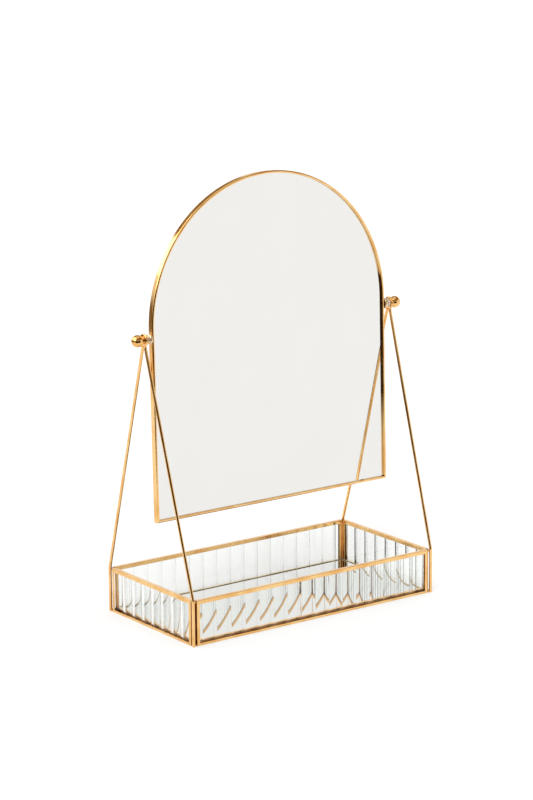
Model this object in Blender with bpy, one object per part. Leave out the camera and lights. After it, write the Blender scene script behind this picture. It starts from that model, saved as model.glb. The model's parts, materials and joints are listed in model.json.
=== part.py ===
"""Tabletop vanity mirror: an arched mirror that tilts between two A-frame legs of bent brass rod,
over a shallow tray with fluted glass walls bound in brass channel and a mirror floor.

The origin is the centre of the tray's underside. +Z is up, +X runs along the tray's length and
-Y faces the person who uses the mirror. All lengths are in metres.
"""
import math

import bmesh
import bpy
from mathutils import Matrix, Vector

# Clearance between two pieces that are brazed, glued or seated on each other
SEAM = 0.0003

# Tray, over the outer faces of its four walls
TRAY_WIDTH = 0.305
TRAY_DEPTH = 0.152
TRAY_HEIGHT = 0.047

# Sheet glass of the walls and the floor
GLASS_THICKNESS = 0.0029

# Folded brass channel that binds every pane: a web with two flanges
CHANNEL_SHEET = 0.0005
RAIL_FLANGE = 0.0038
BOTTOM_FLANGE = 0.0026
POST_FLANGE = 0.0034
FLOOR_FLANGE = 0.0032

# Fluted glass: concave flutes side by side on the outer face, a ridge at the middle of each pane
FLUTE_PITCH = 0.0176
FLUTE_DEPTH = 0.0015
FLUTE_SEGMENTS = 5

# Felt pad under the floor
PAD_THICKNESS = 0.0005

# Legs: one bent rod up each corner of the tray, two rods to an eyelet on the pivot axis
ROD_DIAMETER = 0.0032
ROD_INSET = 0.0005
ROD_BEND_RADIUS = 0.006
ROD_BEND_POINTS = 5
ROD_BEVEL_RESOLUTION = 4
BRAZE_HEIGHT = 0.0018

# Pivot stack, on an axis along X
PIVOT_HEIGHT = 0.2995
EYELET_DIAMETER = 0.0135
EYELET_THICKNESS = 0.0022
STUD_DIAMETER = 0.004
STUD_CLEARANCE = 0.0003
STUD_REACH_IN_KNOB = 0.0075
BOSS_DIAMETER = 0.011
BOSS_LENGTH = 0.0051
BOSS_NOSE_DIAMETER = 0.0085
WASHER_DIAMETER = 0.009
WASHER_THICKNESS = 0.0009
KNOB_DIAMETER = 0.0125
KNOB_NECK_DIAMETER = 0.0072
KNOB_NECK_LENGTH = 0.0011

# Mirror, measured from the pivot axis
MIRROR_WIDTH = 0.294
MIRROR_DROP = 0.1885
SPRING_LINE = 0.0075
REST_TILT_DEG = 1.2
FRAME_DEPTH = 0.0064
FRAME_LIP = 0.0025
FRAME_WALL = 0.0008
GLASS_RECESS = 0.0025
MIRROR_GLASS_THICKNESS = 0.002

# How finely round shapes are cut, and the angle over which an edge stays sharp
ARCH_STEPS = 48
TURNED_STEPS = 24
KNOB_STEPS = 12
SHARP_ANGLE_DEG = 35
MERGE_DISTANCE = 0.000001

# Places worked out from the sizes above
STUD_RADIUS = STUD_DIAMETER / 2
STUD_HOLE_RADIUS = STUD_RADIUS + STUD_CLEARANCE
ROD_RADIUS = ROD_DIAMETER / 2
CHANNEL_WIDTH = GLASS_THICKNESS + 2 * (CHANNEL_SHEET + SEAM)
PANEL_SPAN_X = TRAY_WIDTH - 2 * (CHANNEL_WIDTH + SEAM)
PANEL_SPAN_Y = TRAY_DEPTH - 2 * (CHANNEL_WIDTH + SEAM)
MITRE_TRIM = SEAM / math.sqrt(2)
ARCH_RADIUS = MIRROR_WIDTH / 2
BOSS_FOOT = ARCH_RADIUS + SEAM
BOSS_NOSE = BOSS_FOOT + BOSS_LENGTH
WASHER_INNER = BOSS_NOSE + SEAM
WASHER_OUTER = WASHER_INNER + WASHER_THICKNESS
EYELET_INNER = WASHER_OUTER + SEAM
EYELET_OUTER = EYELET_INNER + EYELET_THICKNESS
EYELET_CENTRE = EYELET_INNER + EYELET_THICKNESS / 2
KNOB_FACE = EYELET_OUTER + SEAM
KNOB_RADIUS = KNOB_DIAMETER / 2
KNOB_CENTRE = KNOB_FACE + KNOB_NECK_LENGTH + math.sqrt(KNOB_RADIUS ** 2 - (KNOB_NECK_DIAMETER / 2) ** 2)
UP = Vector((0.0, 0.0, 1.0))


def clear_scene():
    """Remove every object of the open scene."""
    for thing in list(bpy.data.objects):
        bpy.data.objects.remove(thing, do_unlink=True)


def make_material(name, colour, metallic, roughness, transmission=0.0, ior=1.5):
    """A Principled material of one colour."""
    material = bpy.data.materials.new(name)
    material.use_nodes = True
    shader = material.node_tree.nodes["Principled BSDF"]
    shader.inputs["Base Color"].default_value = (*colour, 1.0)
    shader.inputs["Metallic"].default_value = metallic
    shader.inputs["Roughness"].default_value = roughness
    shader.inputs["Transmission Weight"].default_value = transmission
    shader.inputs["IOR"].default_value = ior
    material.diffuse_color = (*colour, 1.0)
    return material


def add_object(name, bm, material, parent=None, smooth=False):
    """Turn a bmesh into a named object with one material, under an optional parent."""
    bmesh.ops.recalc_face_normals(bm, faces=bm.faces)
    if bm.calc_volume(signed=True) < 0:
        bmesh.ops.reverse_faces(bm, faces=bm.faces)
    mesh = bpy.data.meshes.new(name)
    bm.to_mesh(mesh)
    bm.free()
    if smooth:
        mesh.shade_smooth()
        mesh.set_sharp_from_angle(angle=math.radians(SHARP_ANGLE_DEG))
    mesh.materials.append(material)
    thing = bpy.data.objects.new(name, mesh)
    bpy.context.collection.objects.link(thing)
    thing.parent = parent
    return thing


def add_box(name, low, high, material, parent=None):
    """A rectangular block between two corners."""
    bm = bmesh.new()
    bmesh.ops.create_cube(bm, size=1.0)
    low, high = Vector(low), Vector(high)
    bmesh.ops.scale(bm, vec=high - low, verts=bm.verts)
    bmesh.ops.translate(bm, vec=(low + high) / 2, verts=bm.verts)
    return add_object(name, bm, material, parent)


def polygon_face(bm, points):
    """A face from points in order."""
    return bm.faces.new([bm.verts.new(point) for point in points])


def place_local(bm, centre, x_axis, y_axis, z_axis):
    """Carry a bmesh from its own axes to a place in the object's frame."""
    axes = Matrix((x_axis, y_axis, z_axis)).transposed().to_4x4()
    bm.transform(Matrix.Translation(centre) @ axes)


def extrude_face(bm, face, vector):
    """Extrude one face along a vector into a closed prism and give the new end's vertices."""
    result = bmesh.ops.extrude_face_region(bm, geom=[face])
    moved = [item for item in result["geom"] if isinstance(item, bmesh.types.BMVert)]
    bmesh.ops.translate(bm, vec=vector, verts=moved)
    return moved


def add_channel(name, material, centre, along, inward, length, flange, mitres):
    """A folded channel: its web's outer face is at centre, its flanges stand towards inward.

    Both ends are mitred. mitres gives, for the start and the end, how far that end comes in
    for each metre away from the web.
    """
    half = CHANNEL_WIDTH / 2
    sheet = CHANNEL_SHEET
    section = [
        (-half, 0.0),
        (half, 0.0),
        (half, flange),
        (half - sheet, flange),
        (half - sheet, sheet),
        (sheet - half, sheet),
        (sheet - half, flange),
        (-half, flange),
    ]
    start_mitre, end_mitre = mitres
    reach = length / 2 - MITRE_TRIM
    bm = bmesh.new()
    start = polygon_face(bm, [(height * start_mitre - reach, side, height) for side, height in section])
    for vert in extrude_face(bm, start, (2 * reach, 0.0, 0.0)):
        vert.co.x -= vert.co.z * (start_mitre + end_mitre)
    place_local(bm, centre, along, inward.cross(along), inward)
    return add_object(name, bm, material)


def flute_profile(length):
    """The outer edge of a fluted pane in plan, as (distance along, depth below the ridges)."""
    radius = (FLUTE_DEPTH ** 2 + (FLUTE_PITCH / 2) ** 2) / (2 * FLUTE_DEPTH)
    half = length / 2

    def depth(at):
        """Depth of the surface below the ridges at a distance from the pane's middle."""
        from_axis = (at % FLUTE_PITCH) - FLUTE_PITCH / 2
        return FLUTE_DEPTH - (radius - math.sqrt(radius ** 2 - from_axis ** 2))

    step = FLUTE_PITCH / FLUTE_SEGMENTS
    count = math.ceil(half / step) - 1
    stations = [-half] + [index * step for index in range(-count, count + 1)] + [half]
    return [(at, depth(at)) for at in stations]


def add_pane(name, material, centre, along, outward, length, height):
    """A fluted glass pane standing on edge, its middle at centre."""
    half = GLASS_THICKNESS / 2
    fluted = [(at, depth - half) for at, depth in flute_profile(length)]
    flat = [(length / 2, half), (-length / 2, half)]
    bm = bmesh.new()
    base = polygon_face(bm, [(at, side, -height / 2) for at, side in fluted + flat])
    extrude_face(bm, base, (0.0, 0.0, height))
    place_local(bm, centre, along, -outward, UP)
    return add_object(name, bm, material, smooth=True)


def add_wall(side, outward, span, distance, ends, brass, glass):
    """One wall of the tray: a fluted pane in a rectangle of two rails and two posts."""
    along = UP.cross(outward)
    middle = outward * (distance - CHANNEL_WIDTH / 2)
    top = middle + UP * TRAY_HEIGHT
    centre = middle + UP * (TRAY_HEIGHT / 2)
    top_mitres = (POST_FLANGE / RAIL_FLANGE, POST_FLANGE / RAIL_FLANGE)
    bottom_mitres = (POST_FLANGE / BOTTOM_FLANGE, POST_FLANGE / BOTTOM_FLANGE)
    post_mitres = (BOTTOM_FLANGE / POST_FLANGE, RAIL_FLANGE / POST_FLANGE)
    add_channel(f"{side}_top_rail", brass, top, along, -UP, span, RAIL_FLANGE, top_mitres)
    add_channel(f"{side}_bottom_rail", brass, middle, along, UP, span, BOTTOM_FLANGE, bottom_mitres)
    for sign, end in zip((-1, 1), ends):
        edge = centre + along * (sign * span / 2)
        add_channel(f"{side}_{end}_post", brass, edge, UP, -sign * along,
                    TRAY_HEIGHT, POST_FLANGE, post_mitres)
    clearance = CHANNEL_SHEET + SEAM
    add_pane(f"{side}_glass_pane", glass, centre, along, outward,
             span - 2 * clearance, TRAY_HEIGHT - 2 * clearance)


def build_tray(brass, glass, mirror, felt):
    """Four fluted walls, a mirror floor in its own channel and a felt pad under it."""
    front, back = Vector((0.0, -1.0, 0.0)), Vector((0.0, 1.0, 0.0))
    left, right = Vector((-1.0, 0.0, 0.0)), Vector((1.0, 0.0, 0.0))
    add_wall("front", front, PANEL_SPAN_X, TRAY_DEPTH / 2, ("left", "right"), brass, glass)
    add_wall("back", back, PANEL_SPAN_X, TRAY_DEPTH / 2, ("right", "left"), brass, glass)
    add_wall("left", left, PANEL_SPAN_Y, TRAY_WIDTH / 2, ("back", "front"), brass, glass)
    add_wall("right", right, PANEL_SPAN_Y, TRAY_WIDTH / 2, ("front", "back"), brass, glass)

    floor_x = PANEL_SPAN_X / 2
    floor_y = PANEL_SPAN_Y / 2
    middle = UP * (CHANNEL_WIDTH / 2)
    right_angle_mitres = (1.0, 1.0)
    sides = (
        ("front", front, floor_x, floor_y),
        ("back", back, floor_x, floor_y),
        ("left", left, floor_y, floor_x),
        ("right", right, floor_y, floor_x),
    )
    for side, outward, half_length, distance in sides:
        add_channel(f"floor_channel_{side}", brass, middle + outward * distance, UP.cross(outward),
                    -outward, 2 * half_length, FLOOR_FLANGE, right_angle_mitres)

    edge = CHANNEL_SHEET + SEAM
    glass_low = middle.z - GLASS_THICKNESS / 2
    glass_high = middle.z + GLASS_THICKNESS / 2
    add_box("floor_mirror", (edge - floor_x, edge - floor_y, glass_low),
            (floor_x - edge, floor_y - edge, glass_high), mirror)
    pad_edge = FLOOR_FLANGE + SEAM
    add_box("floor_pad", (pad_edge - floor_x, pad_edge - floor_y, 0.0),
            (floor_x - pad_edge, floor_y - pad_edge, PAD_THICKNESS), felt)


def rod_path(side, face):
    """Points along one leg rod: straight up the tray's corner, a bend, then up to the eyelet."""
    foot = Vector((side * (TRAY_WIDTH / 2 - ROD_INSET), face * (TRAY_DEPTH / 2 - ROD_INSET), 0.0))
    knee = foot + UP * TRAY_HEIGHT
    pivot = Vector((side * EYELET_CENTRE, 0.0, PIVOT_HEIGHT))
    slope = (pivot - knee).normalized()
    turn = UP.angle(slope)
    setback = ROD_BEND_RADIUS * math.tan(turn / 2)
    start = knee - UP * setback
    toward = (slope - UP * slope.dot(UP)).normalized()
    centre = start + toward * ROD_BEND_RADIUS
    points = [foot]
    for index in range(ROD_BEND_POINTS):
        angle = turn * index / (ROD_BEND_POINTS - 1)
        offset = UP * math.sin(angle) - toward * math.cos(angle)
        points.append(centre + offset * ROD_BEND_RADIUS)
    points.append(pivot - slope * (EYELET_DIAMETER / 2 + SEAM))
    return points


def add_rod(name, material, points):
    """A round rod along a list of points, as a bevelled curve with filled ends."""
    curve = bpy.data.curves.new(name, "CURVE")
    curve.dimensions = "3D"
    curve.bevel_depth = ROD_RADIUS
    curve.bevel_resolution = ROD_BEVEL_RESOLUTION
    curve.use_fill_caps = True
    spline = curve.splines.new("POLY")
    spline.points.add(len(points) - 1)
    for slot, point in zip(spline.points, points):
        slot.co = (*point, 1.0)
    curve.materials.append(material)
    thing = bpy.data.objects.new(name, curve)
    bpy.context.collection.objects.link(thing)
    return thing


def add_braze(name, material, side, face, low):
    """Braze that fills a tray corner's notch round the leg rod, from low up."""
    outer = (side * (TRAY_WIDTH / 2 - SEAM), face * (TRAY_DEPTH / 2 - SEAM))
    inner = (side * (TRAY_WIDTH / 2 - CHANNEL_WIDTH), face * (TRAY_DEPTH / 2 - CHANNEL_WIDTH))
    corner_low = (*map(min, inner, outer), low)
    corner_high = (*map(max, inner, outer), low + BRAZE_HEIGHT)
    block = add_box(name, corner_low, corner_high, material)
    bm = bmesh.new()
    bmesh.ops.create_cone(bm, cap_ends=True, segments=TURNED_STEPS, radius1=ROD_RADIUS + SEAM,
                          radius2=ROD_RADIUS + SEAM, depth=2 * TRAY_HEIGHT)
    bmesh.ops.translate(bm, vec=(side * (TRAY_WIDTH / 2 - ROD_INSET), face * (TRAY_DEPTH / 2 - ROD_INSET),
                                 TRAY_HEIGHT / 2), verts=bm.verts)
    cutter = add_object(f"{name}_cutter", bm, material)
    cutter.hide_render = True
    cutter.display_type = "WIRE"
    cut = block.modifiers.new("rod_hole", "BOOLEAN")
    cut.operation = "DIFFERENCE"
    cut.solver = "EXACT"
    cut.object = cutter
    return block


def build_legs(brass):
    """Four bent rods, the braze that holds them in the tray's corners, and two eyelets."""
    for side, side_name in ((-1, "left"), (1, "right")):
        for face, face_name in ((-1, "front"), (1, "back")):
            place = f"{face_name}_{side_name}"
            add_rod(f"leg_rod_{place}", brass, rod_path(side, face))
            add_braze(f"lower_braze_{place}", brass, side, face, SEAM)
            add_braze(f"upper_braze_{place}", brass, side, face, TRAY_HEIGHT - SEAM - BRAZE_HEIGHT)
        chamfer = EYELET_THICKNESS / 4
        rim = EYELET_DIAMETER / 2
        profile = [
            (EYELET_INNER, STUD_HOLE_RADIUS),
            (EYELET_INNER, rim - 2 * chamfer),
            (EYELET_INNER + chamfer, rim),
            (EYELET_OUTER - chamfer, rim),
            (EYELET_OUTER, rim - 2 * chamfer),
            (EYELET_OUTER, STUD_HOLE_RADIUS),
        ]
        eyelet = add_turned(f"leg_eyelet_{side_name}", brass, profile, side, closed=True)
        eyelet.location.z = PIVOT_HEIGHT


def add_turned(name, material, profile, side, closed, parent=None):
    """A body turned about the X axis from (distance out, radius) points, on one side.

    A closed profile is a ring's section. An open one starts and ends on the axis.
    """
    bm = bmesh.new()
    verts = [bm.verts.new((side * out, 0.0, radius)) for out, radius in profile]
    edges = [bm.edges.new(pair) for pair in zip(verts, verts[1:])]
    if closed:
        edges.append(bm.edges.new((verts[-1], verts[0])))
    bmesh.ops.spin(bm, geom=verts + edges, cent=(0.0, 0.0, 0.0), axis=(1.0, 0.0, 0.0),
                   angle=2 * math.pi, steps=TURNED_STEPS, use_merge=True)
    bmesh.ops.remove_doubles(bm, verts=bm.verts, dist=MERGE_DISTANCE)
    return add_object(name, bm, material, parent, smooth=True)


def frame_section():
    """The mirror frame's rebated section, as (distance in from the outline, depth)."""
    front = -FRAME_DEPTH / 2
    shoulder = front + GLASS_RECESS
    return [
        (0.0, front),
        (0.0, -front),
        (FRAME_WALL, -front),
        (FRAME_WALL, shoulder),
        (FRAME_LIP, shoulder),
        (FRAME_LIP, front),
    ]


def add_arch_frame(name, material, parent):
    """The frame's two uprights and arch, in one bent strip with mitred feet."""
    bm = bmesh.new()
    verts = [bm.verts.new((inset - ARCH_RADIUS, depth, SPRING_LINE)) for inset, depth in frame_section()]
    edges = [bm.edges.new(pair) for pair in zip(verts, verts[1:] + verts[:1])]
    spun = bmesh.ops.spin(bm, geom=verts + edges, cent=(0.0, 0.0, SPRING_LINE), axis=(0.0, 1.0, 0.0),
                          angle=math.pi, steps=ARCH_STEPS)
    last = [item for item in spun["geom_last"] if isinstance(item, bmesh.types.BMEdge)]
    for ring in (edges, last):
        result = bmesh.ops.extrude_edge_only(bm, edges=ring)
        feet = [item for item in result["geom"] if isinstance(item, bmesh.types.BMVert)]
        for vert in feet:
            inset = ARCH_RADIUS - abs(vert.co.x)
            vert.co.z = inset + MITRE_TRIM - MIRROR_DROP
        end = [item for item in result["geom"] if isinstance(item, bmesh.types.BMEdge)]
        bmesh.ops.contextual_create(bm, geom=end)
    return add_object(name, bm, material, parent, smooth=True)


def add_bottom_rail(name, material, parent):
    """The mirror frame's straight lower strip, mitred to the uprights."""
    bm = bmesh.new()
    reach = ARCH_RADIUS - MITRE_TRIM
    section = frame_section()
    face = polygon_face(bm, [(inset - reach, depth, inset - MIRROR_DROP) for inset, depth in section])
    moved = extrude_face(bm, face, (2 * reach, 0.0, 0.0))
    for vert in moved:
        vert.co.x -= 2 * (vert.co.z + MIRROR_DROP)
    return add_object(name, bm, material, parent)


def add_arched_plate(name, material, parent, inset, front, back):
    """A flat plate of the mirror's outline, set in all round, between two depths."""
    radius = ARCH_RADIUS - inset
    bottom = inset - MIRROR_DROP
    outline = [(radius, bottom)]
    for index in range(ARCH_STEPS + 1):
        angle = math.pi * index / ARCH_STEPS
        outline.append((radius * math.cos(angle), SPRING_LINE + radius * math.sin(angle)))
    outline.append((-radius, bottom))
    bm = bmesh.new()
    face = polygon_face(bm, [(x, front, z) for x, z in outline])
    extrude_face(bm, face, (0.0, back - front, 0.0))
    return add_object(name, bm, material, parent)


def build_mirror(pivot, brass, mirror, board, nylon):
    """The framed mirror and the pivot pieces that turn with it, about the pivot empty."""
    add_arch_frame("mirror_arch_frame", brass, pivot)
    add_bottom_rail("mirror_bottom_rail", brass, pivot)
    inset = FRAME_WALL + SEAM
    glass_front = GLASS_RECESS - FRAME_DEPTH / 2 + SEAM
    glass_back = glass_front + MIRROR_GLASS_THICKNESS
    add_arched_plate("mirror_glass", mirror, pivot, inset, glass_front, glass_back)
    add_arched_plate("mirror_backing", board, pivot, inset, glass_back + SEAM, FRAME_DEPTH / 2)

    boss = [
        (BOSS_FOOT, STUD_HOLE_RADIUS),
        (BOSS_FOOT, BOSS_DIAMETER / 2),
        (BOSS_FOOT + BOSS_LENGTH / 3, BOSS_DIAMETER / 2),
        (BOSS_NOSE, BOSS_NOSE_DIAMETER / 2),
        (BOSS_NOSE, STUD_HOLE_RADIUS),
    ]
    washer = [
        (WASHER_INNER, STUD_HOLE_RADIUS),
        (WASHER_INNER, WASHER_DIAMETER / 2),
        (WASHER_OUTER, WASHER_DIAMETER / 2),
        (WASHER_OUTER, STUD_HOLE_RADIUS),
    ]
    stud_tip = KNOB_FACE + STUD_REACH_IN_KNOB
    stud = [(BOSS_FOOT, 0.0), (BOSS_FOOT, STUD_RADIUS), (stud_tip, STUD_RADIUS), (stud_tip, 0.0)]
    for side, side_name in ((-1, "left"), (1, "right")):
        add_turned(f"pivot_boss_{side_name}", brass, boss, side, True, pivot)
        add_turned(f"friction_washer_{side_name}", nylon, washer, side, True, pivot)
        add_turned(f"pivot_stud_{side_name}", brass, stud, side, False, pivot)


def build_knobs(pivot, brass):
    """Two ball knobs that screw on the studs' ends."""
    neck = KNOB_NECK_DIAMETER / 2
    hole_end = KNOB_FACE + STUD_REACH_IN_KNOB + SEAM
    profile = [
        (hole_end, 0.0),
        (hole_end, STUD_HOLE_RADIUS),
        (KNOB_FACE, STUD_HOLE_RADIUS),
        (KNOB_FACE, neck),
    ]
    first = math.pi - math.asin(neck / KNOB_RADIUS)
    for index in range(KNOB_STEPS + 1):
        angle = first * (1 - index / KNOB_STEPS)
        profile.append((KNOB_CENTRE + KNOB_RADIUS * math.cos(angle), KNOB_RADIUS * math.sin(angle)))
    profile[-1] = (KNOB_CENTRE + KNOB_RADIUS, 0.0)
    for side, side_name in ((-1, "left"), (1, "right")):
        add_turned(f"ball_knob_{side_name}", brass, profile, side, False, pivot)


def build():
    """Model the whole stand, mirror and knobs."""
    clear_scene()
    brass = make_material("polished_brass", (0.83, 0.55, 0.25), 1.0, 0.16)
    glass = make_material("fluted_glass", (0.93, 0.97, 0.95), 0.0, 0.02, transmission=1.0, ior=1.52)
    mirror = make_material("silvered_mirror", (0.9, 0.9, 0.9), 1.0, 0.02)
    felt = make_material("black_felt", (0.02, 0.02, 0.02), 0.0, 0.95)
    board = make_material("backing_board", (0.03, 0.03, 0.03), 0.0, 0.7)
    nylon = make_material("clear_nylon", (0.75, 0.73, 0.68), 0.0, 0.4)

    build_tray(brass, glass, mirror, felt)
    build_legs(brass)
    pivot = bpy.data.objects.new("mirror_pivot", None)
    bpy.context.collection.objects.link(pivot)
    pivot.location = (0.0, 0.0, PIVOT_HEIGHT)
    pivot.rotation_euler = (-math.radians(REST_TILT_DEG), 0.0, 0.0)
    build_mirror(pivot, brass, mirror, board, nylon)
    build_knobs(pivot, brass)


build()
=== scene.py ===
"""Looks of a tabletop vanity mirror with a fluted glass tray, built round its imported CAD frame.

The tray's walls are rolled fluted glass bound in folded brass channel, the legs are bent brass rod
brazed into the tray's corners, and the arched mirror tilts on turned brass pivots between them.
All lengths are in metres, in the frame's own axes: +Z up, +X along the tray, -Y to the front.
"""
from __future__ import annotations

import json
import logging
import math
from dataclasses import dataclass, field
from enum import Enum
from typing import Any

import bmesh
import bpy
from bmesh.types import BMesh, BMFace, BMVert
from bpy.types import Material, Node, NodeSocket, NodeTree, Object
from mathutils import Matrix, Vector


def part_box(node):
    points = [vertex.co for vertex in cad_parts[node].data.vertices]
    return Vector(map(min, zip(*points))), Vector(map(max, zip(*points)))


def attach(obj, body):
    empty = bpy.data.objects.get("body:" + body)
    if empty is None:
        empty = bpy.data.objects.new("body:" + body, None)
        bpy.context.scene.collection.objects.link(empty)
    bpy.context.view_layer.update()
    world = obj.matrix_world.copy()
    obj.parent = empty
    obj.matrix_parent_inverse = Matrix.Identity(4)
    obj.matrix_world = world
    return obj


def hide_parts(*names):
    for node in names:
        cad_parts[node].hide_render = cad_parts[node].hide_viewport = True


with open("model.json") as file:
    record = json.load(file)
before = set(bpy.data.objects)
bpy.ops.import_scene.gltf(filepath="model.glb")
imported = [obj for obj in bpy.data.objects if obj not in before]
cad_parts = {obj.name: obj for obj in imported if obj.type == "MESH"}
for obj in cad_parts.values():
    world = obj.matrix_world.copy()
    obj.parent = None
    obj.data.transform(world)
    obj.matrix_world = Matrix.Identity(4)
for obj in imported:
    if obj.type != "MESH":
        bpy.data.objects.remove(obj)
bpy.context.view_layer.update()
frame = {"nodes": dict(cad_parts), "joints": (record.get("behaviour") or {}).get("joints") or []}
LOG = logging.getLogger("vanity_mirror")

UP = Vector((0.0, 0.0, 1.0))
SIDES = ((-1, "left"), (1, "right"))
FACES = ((-1, "front"), (1, "back"))
MERGE_DISTANCE = 0.000002
SHARP_ANGLE_DEG = 34.0
TURNED_STEPS = 64
STUD_BORE = 0.0023


# ---- Finishes ----


def linear(hex_colour: str) -> tuple[float, float, float, float]:
    """Turn an sRGB hex colour to linear RGBA.

    Args:
        hex_colour: six hex digits after a hash, such as "#E5B05A".

    Returns:
        The linear red, green and blue, and an alpha of one.
    """
    channels = [int(hex_colour[at:at + 2], 16) / 255 for at in (1, 3, 5)]
    red, green, blue = (c / 12.92 if c <= 0.04045 else ((c + 0.055) / 1.055) ** 2.4
                        for c in channels)
    return red, green, blue, 1.0


def per_metre(size_mm: float) -> float:
    """Give the texture scale whose features are size_mm across on Object coordinates."""
    return 1000.0 / size_mm


def feed(node: Node, inputs: dict[Any, Any]) -> None:
    """Set a node's inputs.

    Args:
        node: the node.
        inputs: for each input's name or number, a value or the output that feeds it.
    """
    for socket, value in inputs.items():
        if isinstance(value, NodeSocket):
            node.id_data.links.new(value, node.inputs[socket])
        else:
            node.inputs[socket].default_value = value


def add_node(tree: NodeTree, kind: str, inputs: dict[Any, Any] | None = None,
             **settings: Any) -> Node:
    """Add one node with its settings, values and links.

    Args:
        tree: the node tree that the node goes in.
        kind: the node's type, such as "ShaderNodeBump".
        inputs: for each input's name or number, a value or the output that feeds it.
        **settings: the node's own properties.

    Returns:
        The new node.
    """
    node = tree.nodes.new(kind)
    for name, value in settings.items():
        setattr(node, name, value)
    feed(node, inputs or {})
    return node


class Lay(Enum):
    """Which way the fine working marks run on a metal piece, as how far a texture is stretched."""

    ALONG_X = (0.02, 1.0, 1.0)
    ALONG_Y = (1.0, 0.02, 1.0)
    ALONG_Z = (1.0, 1.0, 0.02)
    ROUND_X = (1.0, 0.03, 0.03)
    NONE = (1.0, 1.0, 1.0)


@dataclass(frozen=True)
class Finish:
    """A named surface finish that makes its material once and keeps it.

    Attributes:
        name: the material's name.
        slot: the record's material slot that it belongs to; it is not used.
    """

    name: str
    slot: str

    def material(self) -> Material:
        """Give the finish's material, made on its first use.

        Returns:
            The material.
        """
        known = bpy.data.materials.get(self.name)
        if known is not None:
            return known
        made = bpy.data.materials.new(self.name)
        made.use_nodes = True
        tree = made.node_tree
        tree.nodes.clear()
        place = add_node(tree, "ShaderNodeTexCoord").outputs["Object"]
        shader = add_node(tree, "ShaderNodeBsdfPrincipled", self.surface(tree, place))
        add_node(tree, "ShaderNodeOutputMaterial", {
            "Surface": shader.outputs[0], **self.volume(tree)})
        return made

    def surface(self, tree: NodeTree, place: NodeSocket) -> dict[str, Any]:
        """Lay out the finish's patterns.

        Args:
            tree: the material's node tree.
            place: the Object coordinates.

        Returns:
            The Principled shader's inputs.
        """
        raise NotImplementedError

    def volume(self, tree: NodeTree) -> dict[str, Any]:
        """Give the material output's volume input; a finish that stops light has none."""
        return {}


@dataclass(frozen=True)
class PolishedBrass(Finish):
    """Yellow brass, buffed and lightly lacquered: warm glossy streaks over faint working marks.

    Attributes:
        lay: which way the working marks run.
        light: the colour where the lacquer is clean.
        deep: the colour where it has yellowed.
        stain: the colour of the small heat specks.
        roughness: the lowest and the highest roughness.
        mark_mm: the spacing of the working marks, drawn coarser than real ones so that they show.
        mark_depth_mm: how deep they are.
        cloud_mm: the size of the clouds in the lacquer.
        cloud_stops: the cloud's values that give the deep and the light colour.
        speck_mm: the size of the specks.
        speck_share: how strongly a speck shows.
        coat: the weight of the lacquer's own gloss.
    """

    lay: Lay = Lay.NONE
    light: str = "#F4C989"
    deep: str = "#E6B068"
    stain: str = "#BC8242"
    roughness: tuple[float, float] = (0.1, 0.2)
    mark_mm: float = 0.35
    mark_depth_mm: float = 0.004
    cloud_mm: float = 22.0
    cloud_stops: tuple[float, float] = (0.36, 0.58)
    speck_mm: float = 1.6
    speck_share: float = 0.4
    coat: float = 0.12

    def surface(self, tree: NodeTree, place: NodeSocket) -> dict[str, Any]:
        """Lay out the working marks, the clouds in the lacquer and the specks.

        Args:
            tree: the material's node tree.
            place: the Object coordinates.

        Returns:
            The Principled shader's inputs.
        """
        stretched = add_node(tree, "ShaderNodeMapping", {"Vector": place, "Scale": self.lay.value})
        marks = add_node(tree, "ShaderNodeTexNoise", {
            "Vector": stretched.outputs[0], "Scale": per_metre(self.mark_mm), "Detail": 3.0,
            "Roughness": 0.6})
        bump = add_node(tree, "ShaderNodeBump", {
            "Height": marks.outputs["Fac"], "Strength": 0.6,
            "Distance": self.mark_depth_mm / 1000})
        cloud = add_node(tree, "ShaderNodeTexNoise", {
            "Vector": place, "Scale": per_metre(self.cloud_mm), "Detail": 4.0, "Roughness": 0.55})
        tone = add_node(tree, "ShaderNodeValToRGB", {"Fac": cloud.outputs["Fac"]})
        stops = zip(tone.color_ramp.elements, self.cloud_stops, (self.deep, self.light))
        for stop, position, colour in stops:
            stop.position = position
            stop.color = linear(colour)
        specks = add_node(tree, "ShaderNodeTexNoise", {
            "Vector": place, "Scale": per_metre(self.speck_mm), "Detail": 5.0, "Roughness": 0.7})
        stained = add_node(tree, "ShaderNodeMapRange", {
            "Value": specks.outputs["Fac"], "From Min": 0.62, "From Max": 0.74,
            "To Min": 0.0, "To Max": self.speck_share})
        colour = add_node(tree, "ShaderNodeMix", {
            "Factor": stained.outputs[0], "A": tone.outputs["Color"], "B": linear(self.stain)},
            data_type="RGBA")
        smooth, dull = self.roughness
        haze = add_node(tree, "ShaderNodeMapRange", {
            "Value": cloud.outputs["Fac"], "From Min": 0.35, "From Max": 0.7,
            "To Min": smooth, "To Max": dull})
        return {"Base Color": colour.outputs["Result"], "Roughness": haze.outputs[0],
                "Normal": bump.outputs[0], "Metallic": 1.0, "Coat Weight": self.coat,
                "Coat Roughness": 0.12}


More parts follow.
